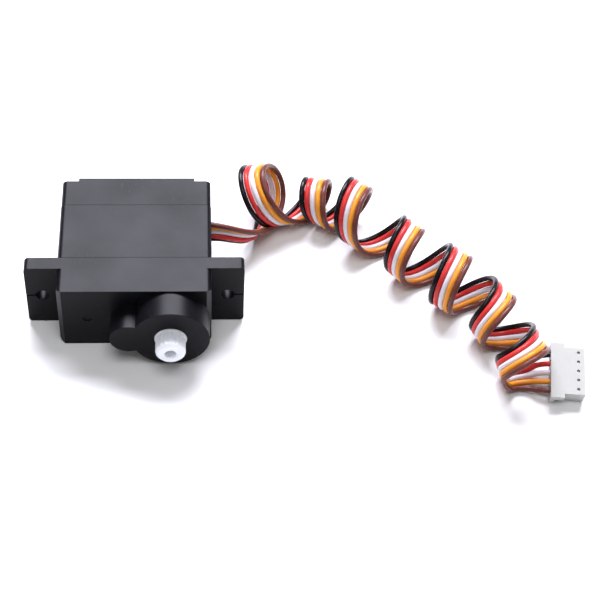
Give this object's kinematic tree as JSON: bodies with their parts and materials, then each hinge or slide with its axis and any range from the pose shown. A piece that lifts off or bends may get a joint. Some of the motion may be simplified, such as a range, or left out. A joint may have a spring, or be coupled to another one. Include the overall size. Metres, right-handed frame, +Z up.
{
  "type": "hobby servo motor",
  "caption": "Small black rotary servo with two mounting lugs, a gear tower with a white splined output shaft, and a curled flat ribbon of coloured wires ending in a white plug.",
  "frame": {"origin": "on the surface the servo lies on, under the middle of the servo without its cable", "axes": "+X along the mounting lugs towards the side where the cable leaves, +Z up through the thickness of the case; the output shaft points along -Y"},
  "size_m": [0.0846, 0.0434, 0.0122],
  "materials": {
    "case_black": "satin",
    "screw_steel": "bright",
    "gear_nylon": "satin",
    "axle_steel": "polished",
    "can_steel": "satin",
    "magnet_ferrite": "matte",
    "bush_bronze": "satin",
    "end_cap_plastic": "satin",
    "tinned_brass": "satin",
    "brush_copper": "satin",
    "pinion_brass": "satin",
    "core_steel": "satin",
    "winding_copper": "glossy",
    "washer_plastic": "matte",
    "commutator_plastic": "matte",
    "commutator_copper": "polished",
    "pot_plastic": "satin",
    "pot_base_plastic": "satin",
    "carbon_track": "matte",
    "wiper_plastic": "satin",
    "plug_nylon": "satin",
    "contact_tin": "satin",
    "wire_black": "glossy",
    "wire_red": "glossy",
    "wire_white": "glossy",
    "wire_orange": "glossy",
    "wire_brown": "glossy",
    "ribbon": "glossy"
  },
  "bodies": {
    "case": {"top_case": "case_black", "middle_case": "case_black", "bottom_cover": "case_black", "case_screws": "screw_steel", "idler_axle": "axle_steel", "motor_can": "can_steel", "motor_magnets": "magnet_ferrite", "motor_bushes": "bush_bronze", "motor_end_cap": "end_cap_plastic", "motor_terminals": "tinned_brass", "motor_brushes": "brush_copper", "pot_housing": "pot_plastic", "pot_base": "pot_base_plastic", "pot_track": "carbon_track", "pot_terminals": "tinned_brass", "plug_housing": "plug_nylon", "plug_contacts": "contact_tin", "ribbon_lead_in": "ribbon", "ribbon_curl": "ribbon", "ribbon_lead_out": "ribbon", "inner_lead_black": "wire_black", "inner_lead_red": "wire_red", "inner_lead_white": "wire_white", "inner_lead_orange": "wire_orange", "inner_lead_brown": "wire_brown"},
    "rotor": {"motor_shaft": "axle_steel", "motor_pinion": "pinion_brass", "rotor_core": "core_steel", "rotor_windings": "winding_copper", "rotor_washers": "washer_plastic", "commutator_core": "commutator_plastic", "commutator_segments": "commutator_copper"},
    "first_gear": {"first_gear": "gear_nylon"},
    "second_gear": {"second_gear": "gear_nylon"},
    "third_gear": {"third_gear": "gear_nylon"},
    "output": {"output_gear": "gear_nylon", "pot_shaft": "axle_steel", "pot_wiper": "wiper_plastic"}
  },
  "joints": [
    {"name": "rotor_spin", "type": "hinge", "parent": "case", "child": "rotor", "pos_m": [-0.00615, 0, 0.0061], "axis": [0, -1, 0], "range_deg": [-13972, 13972]},
    {"name": "first_gear_spin", "type": "hinge", "parent": "case", "child": "first_gear", "pos_m": [-0.00085, -0.0048, 0.0061], "axis": [0, -1, 0], "range_deg": [-2858, 2858]},
    {"name": "second_gear_spin", "type": "hinge", "parent": "case", "child": "second_gear", "pos_m": [0.0054, -0.006, 0.0061], "axis": [0, -1, 0], "range_deg": [-903, 903]},
    {"name": "third_gear_spin", "type": "hinge", "parent": "case", "child": "third_gear", "pos_m": [-0.00085, -0.008, 0.0061], "axis": [0, -1, 0], "range_deg": [-286, 286]},
    {"name": "output_turn", "type": "hinge", "parent": "case", "child": "output", "pos_m": [0.0054, -0.012, 0.0061], "axis": [0, -1, 0], "range_deg": [-90, 90]}
  ],
  "couplings": [
    {"joint": "first_gear_spin", "follows": "rotor_spin", "ratio": -0.20455},
    {"joint": "second_gear_spin", "follows": "rotor_spin", "ratio": 0.064593},
    {"joint": "third_gear_spin", "follows": "rotor_spin", "ratio": -0.020398},
    {"joint": "output_turn", "follows": "rotor_spin", "ratio": 0.0064414}
  ]
}
